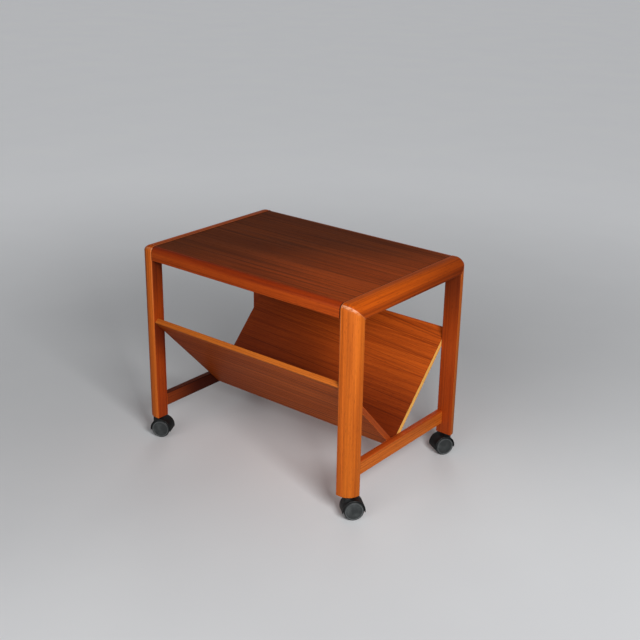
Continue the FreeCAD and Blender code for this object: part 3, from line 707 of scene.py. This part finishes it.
# %% Bullnosed edges
LIPPING_ROUND = 12.7 * MM
LIPPING_EASE = 1.5 * MM
CRISP = 0.5 * MM
EDGE_TEAK = tones((184, 76, 19), (159, 60, 12), (115, 41, 9), (93, 34, 9))
# Painted shade on the upper round of the edge.
ROUND_SHADE = painted_light(0.64, 0.46, 0.4)


def shaded_round(position):
    """The upper round of the top's edge, painted darker as shade on a face that looks up."""
    return 1 - below_top(position).rise(4 * MM, 16 * MM)


for end_name, end in ENDS.items():
    node = f"{end_name}_edge_lipping"
    low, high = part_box(node)
    y_in, y_out = (low.y, high.y) if end > 0 else (high.y, low.y)
    profile = [(y_in, low.z), (y_out, low.z), (y_out, high.z), (y_in, high.z)]
    tube = bar_tube(profile, [CRISP, LIPPING_EASE, LIPPING_ROUND, CRISP], high.x,
                    lambda run, u, v: (run, u, v))
    finish = wood(f"{end_name}_edge_teak", node, X, Z, EDGE_TEAK, ring=4.0 * MM,
                  pith=(-0.05, 0.06 * end), tilt=(0.008, 0.004), contrast=0.9, level=0.12,
                  seed=31.0 + end, painted_shading=[(shaded_round, ROUND_SHADE)],
                  marks=[(joint_dirt_and_shade, JOINT_DIRT_AND_SHADE)])
    make_piece(f"{end_name}_edge_shaped", [tube], "table", node, finish)
print(f"two bullnosed edges made, {2 * high.x:.4f} m long")

# %% [markdown]
# ## The rack's top edges
# Each sloping panel ends in a strip of solid teak, square to the panel. Its box gives the four corners
# of that tilted rectangle, because the panel's slope is known. The front strip is golden, the back one,
# further from the light, is as dark as the panel's inside.

# %% Rack lippings
RACK_LIPPING = 7 * MM
RACK_EASE = 1.0 * MM
GOLD_TEAK = tones((208, 114, 36), (188, 94, 24), (144, 64, 13), (120, 52, 11))
RACK_INSIDE = tones((206, 92, 22), (180, 73, 14), (104, 36, 7), (90, 32, 7))
strip_teak = {"front": GOLD_TEAK, "back": RACK_INSIDE}

for end_name, end in ENDS.items():
    node = f"{end_name}_rack_top_lipping"
    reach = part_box(node)[1].x
    outer_top = panel_top(node)
    inner_top = outer_top + PANEL_NORMAL * RACK_THICKNESS
    strip = [outer_top - PANEL_SLOPE * RACK_LIPPING, outer_top, inner_top,
             inner_top - PANEL_SLOPE * RACK_LIPPING]
    tube = bar_tube(strip, [CRISP, RACK_EASE, RACK_EASE, CRISP], reach,
                    lambda run, u, v: (run, end * u, v))
    finish = wood(f"{end_name}_rack_edge_teak", node, X, Y, strip_teak[end_name],
                  ring=3.2 * MM, pith=(0.06 * end, -0.05), tilt=(0.006, 0.0), seed=41.0 + end)
    make_piece(f"{end_name}_rack_edge_shaped", [tube], "table", node, finish)
print(f"two rack edges made, {RACK_LIPPING / MM:.0f} x {RACK_THICKNESS / MM:.0f} mm")

# %% [markdown]
# ## Veneers of the top
# The flat sheets keep their CAD shape and only need their figure. The top's veneer is dark and
# straight-grained along the table, and painted darkest at the far left, as the light falls off there. The
# veneer below is a plain backing sheet.


# %% Veneers of the top
def dress(node, material):
    """Puts a material into a CAD node's own slot."""
    slots = nodes[node].data.materials
    slots.clear()
    slots.append(material)


TOP_VENEER = tones((176, 74, 15), (135, 53, 9), (70, 26, 5), (60, 23, 5))
BACKING = tones((128, 74, 42), (106, 58, 32), (74, 38, 20), (60, 32, 18))
# Painted falloff of the light across the top, darkest at the far left.
TOP_FALLOFF = painted_light(0.44, 0.54, 0.8)


def far_from_light(position):
    """Painted falloff of the light: rises from the near right to the far left."""
    return (position.dot(Y) - position.dot(X)).rise(-0.30, 0.10)


face_teak = wood("top_veneer_teak", "top_face_veneer", X, Y, TOP_VENEER, ring=3.4 * MM,
                 pith=(0.34, -0.12), tilt=(0.012, 0.0), wander=14 * MM, contrast=0.9, bold=0.5,
                 gloss=0.5, level=0.1, seed=51.0, painted_shading=[(far_from_light, TOP_FALLOFF)],
                 marks=[(joint_dirt_and_shade, JOINT_DIRT_AND_SHADE)])
back_teak = wood("top_backing_veneer", "top_underside_veneer", X, Y, BACKING, ring=7 * MM,
                 pith=(-0.1, 0.06), tilt=(0.03, 0.02), gloss=0.6, seed=55.0)
dress("top_face_veneer", face_teak)
dress("top_underside_veneer", back_teak)
print("top dressed on both faces")

# %% [markdown]
# ## Veneers of the rack
# The rack's inner faces are crown-cut: long dark flames that converge towards one end. Their across
# direction follows the slope of each panel. The bottom of the rack and its left end are painted darker,
# as shade, and the outer faces darker towards the left, as the light falls off. The core shows only at
# the panels' ends: pale at the back; at the front warmer and darker, partly another board and partly
# painted shade with the orange light thrown from the near leg.

# %% Veneers of the rack
RACK_OUTSIDE = tones((230, 112, 34), (204, 90, 24), (134, 54, 12), (112, 46, 11))
PALE_CORE = tones((255, 200, 104), (248, 178, 82), (210, 132, 52), (176, 106, 40))
# The front core is partly another board and partly painted shade with orange light thrown from the near
# leg.
WARM_SHADED_CORE = tones((172, 74, 23), (150, 59, 15), (110, 41, 9), (93, 34, 8))
# Painted shade deep in the rack and at its left end, and painted falloff of the light on the outer faces.
RACK_DEPTH_SHADE = painted_light(0.42, 0.3, 0.24)
RACK_LEFT_SHADE = painted_light(0.72, 0.64, 0.6)
OUTER_LEFT_FALLOFF = painted_light(0.62, 0.54, 0.5)
core_board = {"front": WARM_SHADED_CORE, "back": PALE_CORE}


def deep_in_rack(position):
    """Rises towards the bottom of the rack, which is painted dark as shade."""
    return 1 - position.dot(Z).rise(0.12, 0.23)


for end_name, end in ENDS.items():
    up_slope = np.array([0, end * PANEL_SLOPE[0], PANEL_SLOPE[1]])
    inner, outer, core = (f"{end_name}_rack_{layer}" for layer in ("inner_veneer", "outer_veneer", "core"))
    dress(inner, wood(f"{inner}_teak", inner, X, up_slope, RACK_INSIDE, ring=4.4 * MM,
                      pith=(0.16, 0.05), tilt=(0.05, 0.03), wander=16 * MM, contrast=0.7, bold=0.18,
                      seed=61.0 + end, painted_shading=[(deep_in_rack, RACK_DEPTH_SHADE), (towards_left, RACK_LEFT_SHADE)]))
    dress(outer, wood(f"{outer}_teak", outer, X, up_slope, RACK_OUTSIDE, ring=9.0 * MM,
                      pith=(0.2, 0.06), tilt=(0.01, 0.01), wander=16 * MM, contrast=0.9, bold=0.5,
                      level=0.15, seed=71.0 + end, painted_shading=[(towards_left, OUTER_LEFT_FALLOFF)]))
    dress(core, wood(f"{core}_board", core, up_slope, X, core_board[end_name], ring=3.0 * MM,
                     pith=(0.4, 0.1), contrast=0.35, gloss=0.5, seed=81.0 + end))
print("both rack panels dressed: two veneers and a core each")

# %% [markdown]
# ## Hidden wood
# The core of the top, the loose tongues in the mitres and the dowels are out of sight, but a table that
# is taken apart should show wood there too. Dowels and tongues are plain pale beech.

# %% Hidden wood
BEECH = tones((222, 184, 140), (206, 164, 118), (176, 130, 88), (150, 106, 70))
hidden_beech = ("mitre_tongues", "stretcher_dowels", "top_dowels", "rack_dowels")
dress("top_core", wood("top_core_board", "top_core", X, Y, PALE_CORE, ring=5 * MM, seed=85.0))
for node in hidden_beech:
    dress(node, wood(f"{node}_beech", node, X, Y, BEECH, ring=3 * MM, contrast=0.3, gloss=0.6,
                     seed=91.0))
print("hidden wood dressed:", ", ".join(hidden_beech))

# %% [markdown]
# ## Plastic and steel
# The casters are moulded in charcoal plastic with a fine spark-eroded grain, a little paler where dust
# sits. Stems and axles are turned steel with rings round their axis. Both are noise again: fine for the
# grain, broad for the dust, drawn out to thin layers for the marks of the lathe.


# %% Plastic and steel
def moulded(name, dark, pale, gloss, seed, marks=()):
    """Charcoal plastic: a fine even grain, dusty clouds and a rougher sheen where the dust lies.
    Marks are laid over it as on wood."""
    material, shader, position = new_material(name)
    place = position.minus((seed, 0.0, 0.0))
    grain, dust = place.noise_at(2600.0), place.noise_at(70.0, 3.0).rise(0.42, 0.75)
    bump = position.node("ShaderNodeBump", None,
                         {"Strength": 0.25, "Distance": 0.06 * MM, "Height": grain})
    colour = (0.55 * dust + 0.2 * grain).blend(dark, pale)
    for mask, paint in marks:
        colour = mask(position).blend(colour, paint)
    connect(shader, Base_Color=colour, Roughness=gloss + 0.2 * dust + 0.08 * grain, Normal=bump)
    return material


def turned_steel(name):
    """Steel with fine rings across its height, as a lathe tool leaves them."""
    material, shader, position = new_material(name)
    rings = position.node("ShaderNodeTexNoise", {"noise_dimensions": "1D"},
                          {"W": position.dot(Z) * 9000.0, "Scale": 1.0, "Detail": 2.0})
    colour = rings.blend(srgb(150, 148, 144), srgb(205, 204, 200))
    connect(shader, Base_Color=colour, Roughness=0.24 + 0.2 * rings, Metallic=1.0)
    return material


hood_plastic = moulded("hood_plastic", srgb(11, 12, 13), srgb(32, 34, 35), gloss=0.38, seed=2.0)
socket_plastic = moulded("socket_plastic", srgb(26, 26, 26), srgb(50, 50, 50), gloss=0.5, seed=8.0)
steel = turned_steel("turned_steel")
steel_nodes = ("caster_stems", "stem_grip_rings", *(f"{place}_caster_axle" for place in CORNERS))
for node in steel_nodes:
    dress(node, steel)
dress("caster_sockets", socket_plastic)
print(len(steel_nodes), "nodes dressed in steel, the sockets in plastic")

# %% [markdown]
# ## Wheels
# A wheel is turned: one profile carried round the axle. A profile is easier to measure than a finished
# wheel, and turning it makes the round perfect.

# %% Wheel shape
WHEEL_RADIUS = joints["front_right_wheel_a_spin"]["pos_m"][2]
WHEEL_INNER, WHEEL_OUTER = 6.1 * MM, 17.6 * MM
WHEEL_SHOULDER, WHEEL_EASE = 2.5 * MM, 1.0 * MM
LIP_RADIUS, LIP_EASE = WHEEL_RADIUS - 3 * MM, 0.3 * MM
DISH, CROWN = 0.9 * MM, 0.5 * MM
BORE_RADIUS, BORE_END = 2.55 * MM, 15.5 * MM


def arc(centre, radius, start, stop, steps):
    """Points on a circle between two angles in degrees."""
    angle = np.radians(np.linspace(start, stop, steps))
    return np.stack([centre[0] + radius * np.cos(angle), centre[1] + radius * np.sin(angle)], -1)


def wheel_profile():
    """Radius and place along the axle, from the middle of the outer disc round the tread to the bore.
    The disc is a shallow dome inside a raised lip, the tread has a round shoulder."""
    share = np.linspace(0, 1, 12)[:, None]
    dome = np.concatenate([share * (LIP_RADIUS - LIP_EASE),
                           WHEEL_OUTER - DISH + CROWN * (1 - share ** 2)], 1)
    lip = arc((LIP_RADIUS + LIP_EASE, WHEEL_OUTER - LIP_EASE), LIP_EASE, 180, 90, 5)
    shoulder = arc((WHEEL_RADIUS - WHEEL_SHOULDER, WHEEL_OUTER - WHEEL_SHOULDER),
                   WHEEL_SHOULDER, 90, 0, 9)
    heel = arc((WHEEL_RADIUS - WHEEL_EASE, WHEEL_INNER + WHEEL_EASE), WHEEL_EASE, 0, -90, 5)
    bore = np.array([(BORE_RADIUS, WHEEL_INNER), (BORE_RADIUS, BORE_END), (0, BORE_END)])
    return np.concatenate([dome, lip, shoulder, heel, bore])


def wheel_tube(sign, steps=96):
    """The profile carried round the axle: each point turns on a circle about it."""
    radius, axial = wheel_profile()[:, :, None].transpose(1, 0, 2)
    angle = np.linspace(0, 2 * math.pi, steps, endpoint=False)[None, :]
    across = np.broadcast_to(sign * axial, (len(radius), steps))
    return np.stack([radius * np.cos(angle), across, radius * np.sin(angle)], -1)


print(f"wheel of {2 * WHEEL_RADIUS / MM:.1f} mm from a profile of {len(wheel_profile())} points")

# %% [markdown]
# ## Hoods
# A hood is three closed forms in one piece: a roof, which is a thin rounded strip carried over half a
# circle and a little way down, the web between the wheels and the round boss that takes the stem. They
# run into each other a little instead of being cut to fit, which can't be seen and saves much work.

# %% Hood shape
HOOD_INNER, HOOD_OUTER = WHEEL_RADIUS + 1.3 * MM, WHEEL_RADIUS + 3.2 * MM
HOOD_MIDDLE = (HOOD_INNER + HOOD_OUTER) / 2
HOOD_HALF, HOOD_SKIRT = 16.5 * MM, 4 * MM
HOOD_EASE, INNER_EASE = 0.8 * MM, 0.3 * MM
BOSS_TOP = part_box("front_right_caster_hood")[1].z - WHEEL_RADIUS
BOSS_RADIUS, TRAIL = 10 * MM, 11 * MM
WEB_RADIUS, WEB_HALF = 15 * MM, 5.5 * MM


def roof_tube(steps=49):
    """A thin strip with eased rims carried over half a circle and straight down at both ends."""
    rim = [(-HOOD_HALF, HOOD_INNER), (HOOD_HALF, HOOD_INNER),
           (HOOD_HALF, HOOD_OUTER), (-HOOD_HALF, HOOD_OUTER)]
    strip = rounded_outline(rim, [INNER_EASE, INNER_EASE, HOOD_EASE, HOOD_EASE], steps=6)
    angle = np.pad(np.linspace(0, math.pi, steps), 1, mode="edge")[:, None]
    drop = np.pad(np.zeros(steps), 1, constant_values=HOOD_SKIRT)[:, None]
    across = np.broadcast_to(strip[:, 0], (len(angle), len(strip)))
    return np.stack([strip[:, 1] * np.cos(angle), across, strip[:, 1] * np.sin(angle) - drop], -1)


def web_tube():
    """The flat web: an arch up to the roof and down with its skirt, and a smaller disc hanging below."""
    below = math.degrees(math.asin(HOOD_SKIRT / WEB_RADIUS))
    outline = np.concatenate([arc((0, 0), HOOD_MIDDLE, 0, 180, 41), [(-HOOD_MIDDLE, -HOOD_SKIRT)],
                              arc((0, 0), WEB_RADIUS, 180 + below, 360 - below, 33),
                              [(HOOD_MIDDLE, -HOOD_SKIRT)]])
    return np.stack([np.stack([outline[:, 0], np.full(len(outline), y), outline[:, 1]], -1)
                     for y in (-WEB_HALF, WEB_HALF)])


def boss_tube(steps=48):
    """An upright round boss with an eased top, whose foot follows the roof's curve."""
    rim = arc((BOSS_RADIUS - HOOD_EASE, BOSS_TOP - HOOD_EASE), HOOD_EASE, 0, 90, 5)
    edge = np.concatenate([[[BOSS_RADIUS, 0.0]], rim])
    angle = np.linspace(0, 2 * math.pi, steps, endpoint=False)[None, :]
    x = edge[:, :1] * np.cos(angle) - TRAIL
    height = np.broadcast_to(edge[:, 1:], x.shape).copy()
    height[0] = np.sqrt(HOOD_MIDDLE ** 2 - x[0] ** 2)
    return np.stack([x, edge[:, :1] * np.sin(angle), height], -1)


print(f"hood of {2 * HOOD_OUTER / MM:.1f} mm, its boss {BOSS_TOP / MM:.1f} mm above the axle")

# %% [markdown]
# ## The four casters
# The joints in the record say where each axle is and which way it points, so each tube is made with
# the axle along Y and then set on its own. The tread is darker than the disc, and the lip carries a
# painted highlight: both are masks by the distance from the axle.


# %% Casters
def set_on_axle(tube, joint):
    """Moves a tube from the axle's own directions, with the axle along Y, to its place in the table."""
    axle = np.array(joint["axis"])
    turn = np.stack([np.cross(axle, Z), axle, Z])
    return tube @ turn + np.array(joint["pos_m"])


def from_axle(position, joint):
    """How far a point is from an axle: its distance from the axle's middle without the part along it."""
    local = position.minus(joint["pos_m"])
    length, along = local.length(), local.dot(joint["axis"])
    return (length * length - along * along) ** 0.5


def wheel_finish(place, joint):
    """Plastic for the two wheels on one axle: a darker tread outside the lip, a painted highlight on the
    lip.
    """

    def tread(position):
        """Rises just outside the lip."""
        return from_axle(position, joint).rise(LIP_RADIUS, LIP_RADIUS + 0.8 * MM) * 0.7

    def lip_highlight(position):
        """A painted highlight on the lip: full next to it, gone a millimetre from it."""
        beside = abs(from_axle(position, joint) - LIP_RADIUS)
        return (1 - beside.rise(0.3 * MM, 1.0 * MM)) * 0.55

    return moulded(f"{place}_wheel_plastic", srgb(39, 42, 43), srgb(80, 84, 84), gloss=0.44, seed=5.0,
                   marks=[(tread, srgb(26, 28, 29)), (lip_highlight, srgb(120, 124, 124))])


for place in CORNERS:
    axle = joints[f"{place}_wheel_a_spin"]
    wheel_plastic = wheel_finish(place, axle)
    hood = [set_on_axle(tube, axle) for tube in (roof_tube(), web_tube(), boss_tube())]
    make_piece(f"{place}_hood_shaped", hood, f"{place}_caster", f"{place}_caster_hood",
               hood_plastic)
    for wheel, sign in (("wheel_a", 1), ("wheel_b", -1)):
        tube = set_on_axle(wheel_tube(sign), axle)
        make_piece(f"{place}_{wheel}_shaped", [tube], f"{place}_{wheel}", f"{place}_{wheel}",
                   wheel_plastic)
print("four casters made, each a hood and two wheels")

# %% [markdown]
# ## Floor
# A plain pale floor takes the shadow. Light that it throws back on the table is grey, while the camera
# sees it pale: it glows a little further out, and under the key light, where it would burn out, it is
# painted darker. A Light Path node tells the two kinds of ray apart.

# %% Floor
FLOOR_HALF = 40.0
KEY_PLACE = (1.55, -0.95, 1.2)
BRIGHT_SPOT = (0.75 * KEY_PLACE[0], 0.75 * KEY_PLACE[1], 0.0)
floor_mesh = bpy.data.meshes.new("floor")
floor_mesh.from_pydata(FLOOR_HALF * np.array([(-1, -1, 0), (1, -1, 0), (1, 1, 0), (-1, 1, 0)]), [],
                       [(0, 1, 2, 3)])
floor = bpy.data.objects.new("floor", floor_mesh)
bpy.context.scene.collection.objects.link(floor)

floor_paint, floor_shader, floor_place = new_material("floor_paint")
mottle = floor_place.noise_at(3.0, 4.0).blend(srgb(216, 217, 219), srgb(224, 225, 226))
to_camera = floor_place.node("ShaderNodeLightPath", output="Is Camera Ray")
under_lamp = 1 - floor_place.minus(BRIGHT_SPOT).length().rise(0.1, 1.2)
further_out = floor_place.length().rise(0.3, 2.6)
shown_paint = under_lamp.blend(mottle, srgb(172, 173, 175))
glow = (to_camera * further_out * (1 - under_lamp)).blend(srgb(0, 0, 0), srgb(137, 138, 140))
connect(floor_shader, Base_Color=to_camera.blend(srgb(150, 150, 150), shown_paint), Emission_Color=glow,
        Emission_Strength=1.0, Roughness=0.9, Specular_IOR_Level=0.05)
floor_mesh.materials.append(floor_paint)
print(f"floor laid, {2 * FLOOR_HALF:.0f} m wide")

# %% [markdown]
# ## Backdrop
# The world gives the even light of a white room, weakly. What the camera sees behind the floor is a grey
# of its own, so that the backdrop can be pale without lighting the table from everywhere.

# %% Backdrop
world = bpy.data.worlds.new("studio")
world.use_nodes = True
soft_sky = world.node_tree.nodes["Background"]
soft_sky.inputs["Color"].default_value = srgb(232, 234, 237)
soft_sky.inputs["Strength"].default_value = 0.16
air = Wire(world.node_tree)
backdrop = air.node("ShaderNodeBackground", None, {"Color": srgb(184, 185, 187)})
seen_by_camera = air.node("ShaderNodeLightPath", output="Is Camera Ray")
around = air.node("ShaderNodeMixShader", None,
                  {0: seen_by_camera, 1: Wire(world.node_tree, soft_sky.outputs[0]), 2: backdrop})
world.node_tree.links.new(around.socket, world.node_tree.nodes["World Output"].inputs["Surface"])
bpy.context.scene.world = world
print("backdrop hung")

# %% [markdown]
# ## Lamps
# The key light comes from the right, as in the picture, and is broad enough for a soft shadow. A weaker
# one fills from the front, and a low one keeps the back readable. That last one leaves no highlights,
# which would turn the dark top grey.

# %% Lamps
AIM = np.array([0.0, 0.0, 0.3])


def add_light(name, kind, place, energy, mirrored=True):
    """A light at a place, turned so that it points at the middle of the table: the direction's slope
    gives the tilt, its compass angle the turn. A light that isn't mirrored leaves no highlights."""
    light = bpy.data.lights.new(name, kind)
    light.energy = energy
    holder = bpy.data.objects.new(name, light)
    toward = AIM - np.array(place)
    holder.location = place
    holder.visible_glossy = mirrored
    holder.rotation_euler = (math.acos(-toward[2] / np.linalg.norm(toward)), 0,
                             math.atan2(toward[1], toward[0]) - math.pi / 2)
    bpy.context.scene.collection.objects.link(holder)
    return light


key = add_light("key", "AREA", KEY_PLACE, energy=32.0)
key.size = 0.7
fill = add_light("fill", "SUN", (0.2, -2.4, 1.1), energy=0.95)
fill.angle = math.radians(50)
back = add_light("back", "SUN", (-1.6, 2.2, 0.6), energy=1.4, mirrored=False)
back.angle = math.radians(30)
print(f"key {key.energy:.0f} W from the right, fill from the front, a weak low light on the back")

# %% [markdown]
# ## Camera
# The camera stands where the photograph was taken from: its place, its angles and its lens were solved
# from the table's own edges. A new camera looks straight down, and three turns aim it: a slight roll,
# the tilt up and the turn about the upright.

# %% Camera
YAW, PITCH, ROLL = np.radians([38.66, 21.73, 0.96])
CAMERA_PLACE = (1.4250, -1.7156, 1.1953)
FOCAL_PIXELS, IMAGE_PIXELS = 1078.6, 640
bpy.context.scene.view_settings.view_transform = "Standard"
camera_data = bpy.data.cameras.new("camera")
camera_data.sensor_width = 36.0
camera_data.lens = FOCAL_PIXELS / IMAGE_PIXELS * camera_data.sensor_width
turns = [(YAW, "Z"), (math.pi / 2 - PITCH, "X"), (ROLL, "Z")]
yaw, pitch, roll = (Matrix.Rotation(angle, 4, axis) for angle, axis in turns)
camera = bpy.data.objects.new("camera", camera_data)
camera.matrix_world = Matrix.Translation(CAMERA_PLACE) @ yaw @ pitch @ roll
bpy.context.scene.collection.objects.link(camera)
bpy.context.scene.camera = camera
print(f"camera lens {camera_data.lens:.2f} mm")

# %% [markdown]
